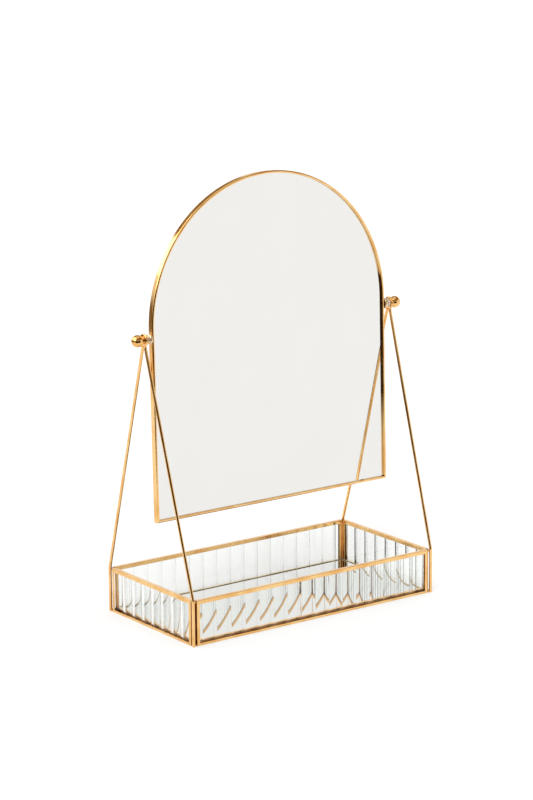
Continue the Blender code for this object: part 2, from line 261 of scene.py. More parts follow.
@dataclass(frozen=True)
class RolledGlass(Finish):
    """Clear soda-lime glass, rolled with flutes: faint green depth and a ripple down each flute.

    Attributes:
        tint: the colour that each surface passes.
        body: the colour that the glass takes on in its depth.
        density: how fast it takes it on, for each metre.
        ripple_mm: the width of the ripple.
        ripple_depth_mm: how deep it is.
        ripple_run: how far the ripple is stretched along each axis.
    """

    tint: str = "#FDFEFD"
    body: str = "#B4DCD0"
    density: float = 9.0
    ripple_mm: float = 14.0
    ripple_depth_mm: float = 0.4
    ripple_run: tuple[float, float, float] = (1.0, 1.0, 0.35)

    def surface(self, tree: NodeTree, place: NodeSocket) -> dict[str, Any]:
        """Lay out the ripple that rolling leaves.

        Args:
            tree: the material's node tree.
            place: the Object coordinates.

        Returns:
            The Principled shader's inputs.
        """
        stretched = add_node(tree, "ShaderNodeMapping", {"Vector": place, "Scale": self.ripple_run})
        ripple = add_node(tree, "ShaderNodeTexNoise", {
            "Vector": stretched.outputs[0], "Scale": per_metre(self.ripple_mm), "Detail": 1.0})
        bump = add_node(tree, "ShaderNodeBump", {
            "Height": ripple.outputs["Fac"], "Strength": 0.5,
            "Distance": self.ripple_depth_mm / 1000})
        return {"Base Color": linear(self.tint), "Roughness": 0.0, "IOR": 1.52,
                "Transmission Weight": 1.0, "Normal": bump.outputs[0]}

    def volume(self, tree: NodeTree) -> dict[str, Any]:
        """Give the material output's volume input, the glass's own colour in its depth."""
        depth = add_node(tree, "ShaderNodeVolumeAbsorption", {
            "Color": linear(self.body), "Density": self.density})
        return {"Volume": depth.outputs[0]}


@dataclass(frozen=True)
class SilveredMirror(Finish):
    """Float glass silvered on its back: a clean cool reflection with the faintest haze of handling.

    Attributes:
        silver: the colour of the clean silver.
        smear: its colour under the haze.
        smear_mm: the size of a patch of haze.
    """

    silver: str = "#E7E6E3"
    smear: str = "#E3E2DF"
    smear_mm: float = 60.0

    def surface(self, tree: NodeTree, place: NodeSocket) -> dict[str, Any]:
        """Lay out the haze of handling.

        Args:
            tree: the material's node tree.
            place: the Object coordinates.

        Returns:
            The Principled shader's inputs.
        """
        wiped = add_node(tree, "ShaderNodeTexNoise", {
            "Vector": place, "Scale": per_metre(self.smear_mm), "Detail": 3.0, "Roughness": 0.5})
        tone = add_node(tree, "ShaderNodeMix", {
            "Factor": wiped.outputs["Fac"], "A": linear(self.silver), "B": linear(self.smear)},
            data_type="RGBA")
        return {"Base Color": tone.outputs["Result"], "Roughness": 0.0, "Metallic": 1.0}


@dataclass(frozen=True)
class PressedFelt(Finish):
    """Thin pressed wool felt: matt, with short fibres that catch a little light.

    Attributes:
        wool: the colour between the fibres.
        fluff: the colour of the fibres that stand up.
        fibre_mm: the spacing of the fibres, drawn coarser than real ones so that they show.
    """

    wool: str = "#17171A"
    fluff: str = "#2B2B2F"
    fibre_mm: float = 0.5

    def surface(self, tree: NodeTree, place: NodeSocket) -> dict[str, Any]:
        """Lay out the fibres.

        Args:
            tree: the material's node tree.
            place: the Object coordinates.

        Returns:
            The Principled shader's inputs.
        """
        fibres = add_node(tree, "ShaderNodeTexNoise", {
            "Vector": place, "Scale": per_metre(self.fibre_mm), "Detail": 5.0, "Distortion": 1.5})
        tone = add_node(tree, "ShaderNodeMix", {
            "Factor": fibres.outputs["Fac"], "A": linear(self.wool), "B": linear(self.fluff)},
            data_type="RGBA")
        bump = add_node(tree, "ShaderNodeBump", {
            "Height": fibres.outputs["Fac"], "Distance": 0.0003})
        return {"Base Color": tone.outputs["Result"], "Normal": bump.outputs[0],
                "Roughness": 0.95, "Sheen Weight": 0.3}


@dataclass(frozen=True)
class BackingBoard(Finish):
    """Hardboard faced with black paper: a soft dry surface with fine paper grain and light scuffs.

    Attributes:
        paper: the paper's colour.
        scuff: its colour where it is scuffed.
        grain_mm: the size of the paper's grain.
        scuff_mm: the size of the scuffs.
    """

    paper: str = "#1C1B1A"
    scuff: str = "#3A3734"
    grain_mm: float = 0.8
    scuff_mm: float = 35.0

    def surface(self, tree: NodeTree, place: NodeSocket) -> dict[str, Any]:
        """Lay out the paper's grain and its scuffs.

        Args:
            tree: the material's node tree.
            place: the Object coordinates.

        Returns:
            The Principled shader's inputs.
        """
        grain = add_node(tree, "ShaderNodeTexNoise", {
            "Vector": place, "Scale": per_metre(self.grain_mm), "Detail": 4.0})
        scuffs = add_node(tree, "ShaderNodeTexNoise", {
            "Vector": place, "Scale": per_metre(self.scuff_mm), "Detail": 8.0, "Roughness": 0.7})
        worn = add_node(tree, "ShaderNodeMapRange", {
            "Value": scuffs.outputs["Fac"], "From Min": 0.5, "From Max": 0.75,
            "To Min": 0.0, "To Max": 0.5})
        tone = add_node(tree, "ShaderNodeMix", {
            "Factor": worn.outputs[0], "A": linear(self.paper), "B": linear(self.scuff)},
            data_type="RGBA")
        bump = add_node(tree, "ShaderNodeBump", {
            "Height": grain.outputs["Fac"], "Strength": 0.5, "Distance": 0.0001})
        return {"Base Color": tone.outputs["Result"], "Normal": bump.outputs[0],
                "Roughness": 0.72}


@dataclass(frozen=True)
class NaturalNylon(Finish):
    """Undyed nylon, punched from sheet: milky, with a soft waxy gloss.

    Attributes:
        milk: its colour.
        scratch_mm: the spacing of its fine scratches.
    """

    milk: str = "#E4E0D4"
    scratch_mm: float = 0.6

    def surface(self, tree: NodeTree, place: NodeSocket) -> dict[str, Any]:
        """Lay out the fine scratches.

        Args:
            tree: the material's node tree.
            place: the Object coordinates.

        Returns:
            The Principled shader's inputs.
        """
        scratch = add_node(tree, "ShaderNodeTexNoise", {
            "Vector": place, "Scale": per_metre(self.scratch_mm), "Detail": 3.0})
        bump = add_node(tree, "ShaderNodeBump", {
            "Height": scratch.outputs["Fac"], "Distance": 0.00005})
        return {"Base Color": linear(self.milk), "Normal": bump.outputs[0], "Roughness": 0.38,
                "Subsurface Weight": 0.25, "Subsurface Scale": 0.002}


BRASS_SLOT = "polished_brass"
BRASS_ALONG_X = PolishedBrass("drawn_brass_along_x", BRASS_SLOT, Lay.ALONG_X)
BRASS_ALONG_Y = PolishedBrass("drawn_brass_along_y", BRASS_SLOT, Lay.ALONG_Y)
BRASS_UPRIGHT = PolishedBrass("drawn_brass_upright", BRASS_SLOT, Lay.ALONG_Z)
BRASS_BENT = PolishedBrass("bent_brass_strip", BRASS_SLOT)
# Turning and buffing leave the knobs and eyelets the brightest brass.
BRASS_TURNED = PolishedBrass("turned_brass", BRASS_SLOT, Lay.ROUND_X, roughness=(0.06, 0.11))
# Painted light: the floor channels along the back and right are painted a paler grey cream, for the
# whitish light they show through the glass.
PAINTED_PALE = {"light": "#E0D3B2", "deep": "#BFAD84", "stain": "#8F7D55"}
PAINTED_PALE_ALONG_X = PolishedBrass("tinned_brass_along_x", BRASS_SLOT, Lay.ALONG_X, **PAINTED_PALE)
PAINTED_PALE_ALONG_Y = PolishedBrass("tinned_brass_along_y", BRASS_SLOT, Lay.ALONG_Y, **PAINTED_PALE)
# Brazing filler sets duller and lumpier than the strip.
BRAZE = PolishedBrass("brazed_fillet", BRASS_SLOT, light="#D9A055", deep="#A96A2E",
                      roughness=(0.18, 0.35), mark_mm=1.1, mark_depth_mm=0.05)
# Painted shade: the web's outer face in each corner notch is painted a dull dark orange brown, for
# the shade that the notch holds.
NOTCH_SHADE_BRASS = PolishedBrass("notch_painted_shade_brass", BRASS_SLOT, light="#A8611F", deep="#74390F",
                            stain="#3C210C", roughness=(0.28, 0.45), cloud_mm=6.0)
# Painted highlight: the pivot collars are painted a pale silver cream for the highlight they show,
# and they keep small lumps.
PAINTED_HIGHLIGHT_BRASS = PolishedBrass("painted_highlight_collar_brass", BRASS_SLOT, light="#F6E4CB", deep="#D9BC95",
                       stain="#A9743F", roughness=(0.2, 0.36), mark_mm=1.4, mark_depth_mm=0.12,
                       cloud_mm=3.0)
GLASS = RolledGlass("rolled_fluted_glass", "fluted_glass")
SILVER = SilveredMirror("silvered_float_glass", "silvered_mirror")
FELT = PressedFelt("pressed_black_felt", "black_felt")
BOARD = BackingBoard("black_faced_hardboard", "backing_board")
NYLON = NaturalNylon("natural_nylon_sheet", "clear_nylon")


# ---- Mesh work ----


@dataclass(frozen=True)
class Extent:
    """The box of one CAD node at rest.

    Attributes:
        low: its lowest corner.
        high: its highest corner.
    """

    low: Vector
    high: Vector

    @classmethod
    def of(cls, node: str) -> Extent:
        """Read the box of a CAD node by name."""
        return cls(*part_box(node))

    @property
    def size(self) -> Vector:
        """The box's lengths along X, Y and Z."""
        return self.high - self.low

    @property
    def middle(self) -> Vector:
        """The box's centre."""
        return (self.low + self.high) / 2

    @property
    def reach(self) -> tuple[float, float]:
        """The distances of the box's near and far ends from the object's middle, along X."""
        near, far = sorted((abs(self.low.x), abs(self.high.x)))
        return near, far

    def block(self) -> BMesh:
        """Give a new mesh of one block that fills the box.

        Returns:
            The mesh.
        """
        bm = bmesh.new()
        bmesh.ops.create_cube(bm, size=1.0)
        bmesh.ops.scale(bm, vec=self.size, verts=bm.verts)
        bmesh.ops.translate(bm, vec=self.middle, verts=bm.verts)
        return bm


def verts_of(result: dict[str, Any], key: str = "geom") -> list[BMVert]:
    """Give the vertices in an operator's result."""
    return [item for item in result[key] if isinstance(item, BMVert)]


def face_of(result: dict[str, Any], key: str = "geom") -> BMFace:
    """Give the one face in an operator's result."""
    return next(item for item in result[key] if isinstance(item, BMFace))


def round_over(bm: BMesh, geom: list[Any], width: float, segments: int,
               affect: str = "EDGES") -> None:
    """Round edges, or the corners of a flat face, with the bevel operator.

    Args:
        bm: the mesh.
        geom: the edges or vertices to round.
        width: how far the rounding reaches.
        segments: how many steps it has.
        affect: "EDGES" or "VERTICES".
    """
    bmesh.ops.bevel(bm, geom=geom, offset=width, offset_type="OFFSET", segments=segments,
                    profile=0.5, affect=affect, material=-1, clamp_overlap=True)


def flat_face(bm: BMesh, points: list[tuple[float, float, float]]) -> BMFace:
    """Make one face from its corners in order."""
    return bm.faces.new([bm.verts.new(point) for point in points])


def extrude(bm: BMesh, face: BMFace, vector: Vector) -> BMFace:
    """Extrude a face along a vector.

    Args:
        bm: the mesh.
        face: the face.
        vector: how far the new end lies from it.

    Returns:
        The face at the new end.
    """
    result = bmesh.ops.extrude_face_region(bm, geom=[face])
    bmesh.ops.translate(bm, vec=vector, verts=verts_of(result))
    return face_of(result)


def axes_matrix(origin: Vector, x_axis: Vector, y_axis: Vector, z_axis: Vector) -> Matrix:
    """Give the matrix that carries local axes to a place in the frame."""
    return Matrix.Translation(origin) @ Matrix((x_axis, y_axis, z_axis)).transposed().to_4x4()


def turn(profile: list[tuple[float, float]], side: int, height: float) -> BMesh:
    """Turn a section about the pivot axis.

    Args:
        profile: (distance out along X, radius) points, in order. Where the last one is off the
            axis the section is a ring's, and it is closed.
        side: -1 for the left, 1 for the right.
        height: the pivot axis's height.

    Returns:
        The turned mesh.
    """
    bm = bmesh.new()
    verts = [bm.verts.new((side * out, 0.0, height + radius)) for out, radius in profile]
    edges = [bm.edges.new(pair) for pair in zip(verts, verts[1:])]
    if profile[-1][1] > 0.0:
        edges.append(bm.edges.new((verts[-1], verts[0])))
    bmesh.ops.spin(bm, geom=verts + edges, cent=(0.0, 0.0, height), axis=(1.0, 0.0, 0.0),
                   angle=2 * math.pi, steps=TURNED_STEPS, use_merge=True)
    return bm


def arc(centre: tuple[float, float], radius: float, start_deg: float, end_deg: float,
        steps: int) -> list[tuple[float, float]]:
    """Give points along an arc in a section.

    Args:
        centre: the arc's centre.
        radius: its radius.
        start_deg: the angle of the first point, from the first axis.
        end_deg: the angle of the last point.
        steps: how many steps it has.

    Returns:
        The points, both ends included.
    """
    angles = [math.radians(start_deg + (end_deg - start_deg) * index / steps)
              for index in range(steps + 1)]
    return [(centre[0] + radius * math.cos(a), centre[1] + radius * math.sin(a)) for a in angles]


def make_object(name: str, bm: BMesh, material: Material) -> Object:
    """Make an object at the origin from a mesh.

    Args:
        name: the object's name.
        bm: its mesh, which is used up.
        material: its first material.

    Returns:
        The object, in the scene.
    """
    mesh = bpy.data.meshes.new(name)
    bm.to_mesh(mesh)
    bm.free()
    mesh.materials.append(material)
    made = bpy.data.objects.new(name, mesh)
    bpy.context.scene.collection.objects.link(made)
    return made


def finish_piece(name: str, bm: BMesh, finish: Finish, body: str, *replaced: str) -> Object:
    """Close a mesh, turn its faces out, dress it and hang it on its body.

    Args:
        name: the piece's name.
        bm: its mesh, which is used up.
        finish: its finish.
        body: the CAD body that it rides on.
        *replaced: the CAD nodes that it stands for.

    Returns:
        The piece.
    """
    bmesh.ops.remove_doubles(bm, verts=bm.verts, dist=MERGE_DISTANCE)
    bmesh.ops.recalc_face_normals(bm, faces=bm.faces)
    if bm.calc_volume(signed=True) < 0.0:
        bmesh.ops.reverse_faces(bm, faces=bm.faces)
    piece = make_object(name, bm, finish.material())
    piece.data.shade_smooth()
    piece.data.set_sharp_from_angle(angle=math.radians(SHARP_ANGLE_DEG))
    flats = piece.modifiers.new("true_flats", "WEIGHTED_NORMAL")
    flats.mode = "FACE_AREA"
    flats.weight = 100
    flats.keep_sharp = True
    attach(piece, body)
    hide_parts(*replaced)
    LOG.info("%s: %d faces on %s, for %s", name, len(piece.data.polygons), body,
             ", ".join(replaced))
    return piece


# ---- Tray ----


class Wall(Enum):
    """The tray's walls, each with the direction it faces."""

    FRONT = (0.0, -1.0, 0.0)
    BACK = (0.0, 1.0, 0.0)
    LEFT = (-1.0, 0.0, 0.0)
    RIGHT = (1.0, 0.0, 0.0)

    @property
    def word(self) -> str:
        """The wall's name in node names."""
        return self.name.lower()

    @property
    def outward(self) -> Vector:
        """The way the wall faces."""
        return Vector(self.value)

    @property
    def along(self) -> Vector:
        """The way along the wall, to the right of someone who faces it from outside."""
        return UP.cross(self.outward)

    @property
    def ends(self) -> tuple[str, str]:
        """The names of the wall's ends, in the order of along."""
        return {"FRONT": ("left", "right"), "BACK": ("right", "left"),
                "LEFT": ("back", "front"), "RIGHT": ("front", "back")}[self.name]

    @property
    def strip_finish(self) -> PolishedBrass:
        """The brass whose marks run along the wall."""
        return BRASS_ALONG_X if abs(self.along.x) > 0.5 else BRASS_ALONG_Y

    @property
    def floor_strip_finish(self) -> PolishedBrass:
        """The finish of the floor's channel: along the back and right it is painted paler, as
        painted light.
        """
        return {"BACK": PAINTED_PALE_ALONG_X, "RIGHT": PAINTED_PALE_ALONG_Y}.get(self.name, self.strip_finish)


@dataclass(frozen=True)
class BrassChannel:
    """A strip of brass folded to a U, mitred at both ends.

    Attributes:
        sheet: the sheet's thickness.
        fold: how far the outside of each fold is rounded.
        lip: how far the edges of the flanges are rounded.
        mitre_fill: how much of the CAD's gap at each mitre the solder fills.
    """

    sheet: float = 0.0005
    fold: float = 0.00045
    lip: float = 0.00016
    mitre_fill: float = 0.00019

    def build(self, node: str, along: Vector, inward: Vector, slopes: tuple[float, float],
              finish: Finish, web_finish: Finish | None = None) -> Object:
        """Build the strip in the place of a CAD node.

        Args:
            node: the CAD node, which gives the strip's place and sizes.
            along: the way along the strip.
            inward: the way its flanges stand.
            slopes: how far each end comes in for each metre away from the web.
            finish: the brass finish.
            web_finish: the finish of the web's outer face, where it differs; at the corner posts it
                is painted shade for the notch.

        Returns:
            The piece.
        """
        extent = Extent.of(node)
        across = inward.cross(along)
        half = abs(extent.size.dot(across)) / 2
        flange = abs(extent.size.dot(inward))
        reach = abs(extent.size.dot(along)) / 2 + self.mitre_fill
        bm = bmesh.new()
        outline = [(-half, 0.0), (half, 0.0), (half, flange), (half - self.sheet, flange),
                   (half - self.sheet, self.sheet), (self.sheet - half, self.sheet),
                   (self.sheet - half, flange), (-half, flange)]
        start = flat_face(bm, [(-reach, side, height) for side, height in outline])
        corners = list(start.verts)
        round_over(bm, corners[:2], self.fold, segments=4, affect="VERTICES")
        lips = [vert for vert in corners[2:4] + corners[6:] if vert.is_valid]
        round_over(bm, lips, self.lip, segments=2, affect="VERTICES")
        start = next(iter(bm.faces))
        for vert in start.verts:
            vert.co.x += vert.co.z * slopes[0]
        extrude(bm, start, Vector((2 * reach, 0.0, 0.0)))
        for vert in bm.verts:
            if vert.co.x > 0.0:
                vert.co.x -= vert.co.z * (slopes[0] + slopes[1])
        web = extent.middle - inward * (flange / 2)
        bm.transform(axes_matrix(web, along, across, inward))
        if web_finish is not None:
            lowest = min(vert.co.dot(inward) for vert in bm.verts)
            for face in bm.faces:
                if all(vert.co.dot(inward) < lowest + MERGE_DISTANCE for vert in face.verts):
                    face.material_index = 1
        name = node.replace("_rail", "_binding").replace("_post", "_upright")
        piece = finish_piece(name, bm, finish, "stand", node)
        if web_finish is not None:
            piece.data.materials.append(web_finish.material())
        return piece


@dataclass(frozen=True)
class FlutedPane:
    """A pane of rolled glass with concave flutes side by side on its outer face.

    Attributes:
        pitch: the width of one flute.
        depth: how deep a flute is at its middle.
        steps: how many faces make one flute.
        ridge: how far the ridge between two flutes is rounded.
        ridge_turn_deg: the least and the greatest turn of the face at a ridge.
    """

    pitch: float = 0.0176
    depth: float = 0.0015
    steps: int = 14
    ridge: float = 0.00035
    ridge_turn_deg: tuple[float, float] = (25.0, 60.0)

    def section(self, length: float, half: float) -> list[tuple[float, float]]:
        """Give the pane's outline in plan.

        Args:
            length: the pane's length.
            half: half its thickness.

        Returns:
            (along, inward) points, first along the fluted edge, with a ridge at the pane's middle.
        """
        radius = (self.depth ** 2 + (self.pitch / 2) ** 2) / (2 * self.depth)
        step = self.pitch / self.steps
        count = math.ceil(length / 2 / step) - 1
        inner = [index * step for index in range(-count, count + 1)]
        fluted = []
        for at in [-length / 2] + inner + [length / 2]:
            from_axis = (at % self.pitch) - self.pitch / 2
            sag = math.sqrt(radius ** 2 - from_axis ** 2)
            fluted.append((at, self.depth - half - radius + sag))
        return fluted + [(length / 2, half), (-length / 2, half)]

    def build(self, wall: Wall) -> Object:
        """Build the pane of one wall in the place of its CAD node.

        Args:
            wall: the wall.

        Returns:
            The piece.
        """
        node = f"{wall.word}_glass_pane"
        extent = Extent.of(node)
        length = abs(extent.size.dot(wall.along))
        half = abs(extent.size.dot(wall.outward)) / 2
        bm = bmesh.new()
        base = flat_face(bm, [(at, depth, 0.0) for at, depth in self.section(length, half)])
        extrude(bm, base, UP * extent.size.z)
        least, most = (math.radians(angle) for angle in self.ridge_turn_deg)
        ridges = [edge for edge in bm.edges
                  if abs(edge.verts[0].co.z - edge.verts[1].co.z) > self.pitch
                  and least < abs(edge.calc_face_angle()) < most]
        round_over(bm, ridges, self.ridge, segments=3)
        foot = Vector((extent.middle.x, extent.middle.y, extent.low.z))
        bm.transform(axes_matrix(foot, wall.along, -wall.outward, UP))
        return finish_piece(f"{wall.word}_fluted_pane", bm, GLASS, "stand", node)


@dataclass
class FlutedTray:
    """The shallow tray: four bound glass walls, a mirror floor in its own channel and a felt pad.

    Attributes:
        channel: the brass channel.
        pane: the fluted glass.
        glass_arris: how far the floor mirror's edges are rounded.
        felt_edge: how far the pad's edges are rounded.
    """

    channel: BrassChannel = BrassChannel()
    pane: FlutedPane = FlutedPane()
    glass_arris: float = 0.0003
    felt_edge: float = 0.0002

    def build(self) -> None:
        """Build every piece of the tray."""
        for wall in Wall:
            self.build_wall(wall)
            # Along the back and right the floor channel takes painted light, a paler brass.
            self.channel.build(f"floor_channel_{wall.word}", wall.along, -wall.outward,
                               (1.0, 1.0), wall.floor_strip_finish)
        self.build_plate("floor_mirror", "tray_floor_mirror", SILVER, self.glass_arris)
        self.build_plate("floor_pad", "tray_felt_pad", FELT, self.felt_edge)

    def build_wall(self, wall: Wall) -> None:
        """Build one wall's two rails, two posts and pane.

        Args:
            wall: the wall.
        """
        top, bottom = (f"{wall.word}_{level}_rail" for level in ("top", "bottom"))
        posts = [f"{wall.word}_{end}_post" for end in wall.ends]
        post_depth = abs(Extent.of(posts[0]).size.dot(wall.along))
        top_depth = Extent.of(top).size.z
        bottom_depth = Extent.of(bottom).size.z
        finish = wall.strip_finish
        self.channel.build(top, wall.along, -UP, (post_depth / top_depth,) * 2, finish)
        self.channel.build(bottom, wall.along, UP, (post_depth / bottom_depth,) * 2, finish)
        slopes = (bottom_depth / post_depth, top_depth / post_depth)
        for inward, post in zip((wall.along, -wall.along), posts):
            # The web's outer face, in the corner's notch, takes the painted shade: a dull dark
            # orange brown.
            self.channel.build(post, UP, inward, slopes, BRASS_UPRIGHT, NOTCH_SHADE_BRASS)
        self.pane.build(wall)

    def build_plate(self, node: str, name: str, finish: Finish, arris: float) -> None:
        """Build a flat plate with softened edges in the place of a CAD node.

        Args:
            node: the CAD node.
            name: the piece's name.
            finish: its finish.
            arris: how far its edges are rounded.
        """
        bm = Extent.of(node).block()
        round_over(bm, list(bm.edges), arris, segments=2)
        finish_piece(name, bm, finish, "stand", node)


# ---- Legs ----


@dataclass
class LegFrames:
    """Two A-frames of bent brass rod, brazed into the tray's corners and to a turned eyelet.

    Attributes:
        rod_radius: half the rod's thickness.
        inset: how far the rod's centre line lies inside the tray's outer faces.
        bend_radius: the radius of the bend at the tray's rim, on the centre line.
        bend_steps: how many steps the bend has.
        rod_sides: how many faces go round the rod.
        end_arris: how far the rod's foot and the eyelet's bore are rounded.
        flare_reach: how far the braze at the eyelet runs down the rod.
        flare: the braze's steps up to the eyelet, each as a share of that reach and the braze's
            radius as a share of the rod's.
        braze_cuts: how many cuts across each side the corners' braze is smoothed over.
        braze_rounds: how many times it is smoothed.
        rim_share: how far the eyelet's rolled rim reaches in, as a share of half its thickness.
    """

    rod_radius: float = 0.0016
    inset: float = 0.0005
    bend_radius: float = 0.006
    bend_steps: int = 10
    rod_sides: int = 28
    end_arris: float = 0.0002
    flare_reach: float = 0.0024
    flare: tuple[tuple[float, float], ...] = ((0.35, 1.04), (0.7, 1.14), (1.0, 1.3125))
    braze_cuts: int = 4
    braze_rounds: int = 2
    rim_share: float = 2.2

    def build(self) -> None:
        """Build the rods, their braze and the eyelets."""
        for side, side_word in SIDES:
            eyelet = Extent.of(f"leg_eyelet_{side_word}")
            for face, face_word in FACES:
                self.build_rod(side, face, f"{face_word}_{side_word}", eyelet)
                for level in ("lower", "upper"):
                    self.build_corner_braze(f"{level}_braze_{face_word}_{side_word}")
            self.build_eyelet(side, side_word, eyelet)

    def build_rod(self, side: int, face: int, corner: str, eyelet: Extent) -> None:
        """Build one rod: up the corner, round the bend and on to the eyelet.

        Args:
            side: -1 for the left, 1 for the right.
            face: -1 for the front, 1 for the back.
            corner: the corner's name.
            eyelet: the eyelet's box.
        """
        tray_high = Vector((Extent.of("right_top_rail").high.x, Extent.of("back_top_rail").high.y,
                            Extent.of("front_top_rail").high.z))
        foot = Vector((side * (tray_high.x - self.inset), face * (tray_high.y - self.inset), 0.0))
        knee = foot + UP * tray_high.z
        slope = (eyelet.middle - knee).normalized()
        angle = UP.angle(slope)
        bend_start = knee - UP * (self.bend_radius * math.tan(angle / 2))
        toward = (slope - UP * slope.dot(UP)).normalized()
        bend_axis = UP.cross(toward)
        bend_centre = bend_start + toward * self.bend_radius
        rim = eyelet.middle - slope * (eyelet.size.z / 2)

        bm = bmesh.new()
        ring = bmesh.ops.create_circle(bm, cap_ends=True, radius=self.rod_radius,
                                       segments=self.rod_sides)
        bmesh.ops.translate(bm, vec=foot, verts=ring["verts"])
        end = extrude(bm, next(iter(bm.faces)), bend_start - foot)
        spun = bmesh.ops.spin(bm, geom=[end], cent=bend_centre, axis=bend_axis, angle=angle,
                              steps=self.bend_steps)
        end = face_of(spun, "geom_last")
        shoulder = rim - slope * self.flare_reach
        end = extrude(bm, end, shoulder - end.calc_center_median())
        for along, across in self.flare:
            place = shoulder + slope * (self.flare_reach * along)
            end = extrude(bm, end, place - end.calc_center_median())
            middle = end.calc_center_median()
            grown = self.rod_radius * across / (end.verts[0].co - middle).length
            bmesh.ops.scale(bm, vec=(grown, grown, grown), space=Matrix.Translation(-middle),
                            verts=list(end.verts))
        foot_edges = [edge for edge in bm.edges
                      if all(vert.co.z < foot.z + MERGE_DISTANCE for vert in edge.verts)]
        round_over(bm, foot_edges, self.end_arris, segments=2)
        finish_piece(f"{corner}_leg_rod", bm, BRASS_UPRIGHT, "stand", f"leg_rod_{corner}")

    def build_corner_braze(self, node: str) -> None:
        """Build the braze that fills a corner's notch round the rod.

        Args:
            node: the CAD node.
        """
        bm = Extent.of(node).block()
        bmesh.ops.subdivide_edges(bm, edges=list(bm.edges), cuts=self.braze_cuts,
                                  use_grid_fill=True)
        for _ in range(self.braze_rounds):
            bmesh.ops.smooth_vert(bm, verts=bm.verts, factor=0.5, use_axis_x=True,
                                  use_axis_y=True, use_axis_z=True)
        finish_piece(node.replace("_braze_", "_braze_fill_"), bm, BRAZE, "stand", node)

    def build_eyelet(self, side: int, word: str, extent: Extent) -> None:
        """Build a turned eyelet with a rolled rim.

        Args:
            side: -1 for the left, 1 for the right.
            word: the side's name.
            extent: the CAD eyelet's box.
        """
        middle = abs(extent.middle.x)
        half = extent.size.x / 2
        rim = extent.size.z / 2
        near, far = middle - half, middle + half
        rolled = rim - self.rim_share * half
        countersunk = STUD_BORE + self.end_arris
        profile = [(near, countersunk), (near, rolled)]
        profile += arc((middle, rim - half), half, start_deg=180.0, end_deg=0.0, steps=12)
        profile += [(far, rolled), (far, countersunk),
                    (far - self.end_arris, STUD_BORE), (near + self.end_arris, STUD_BORE)]
        bm = turn(profile, side, extent.middle.z)
        finish_piece(f"{word}_pivot_eyelet", bm, BRASS_TURNED, "stand", f"leg_eyelet_{word}")


# ---- Mirror, pivots and knobs ----


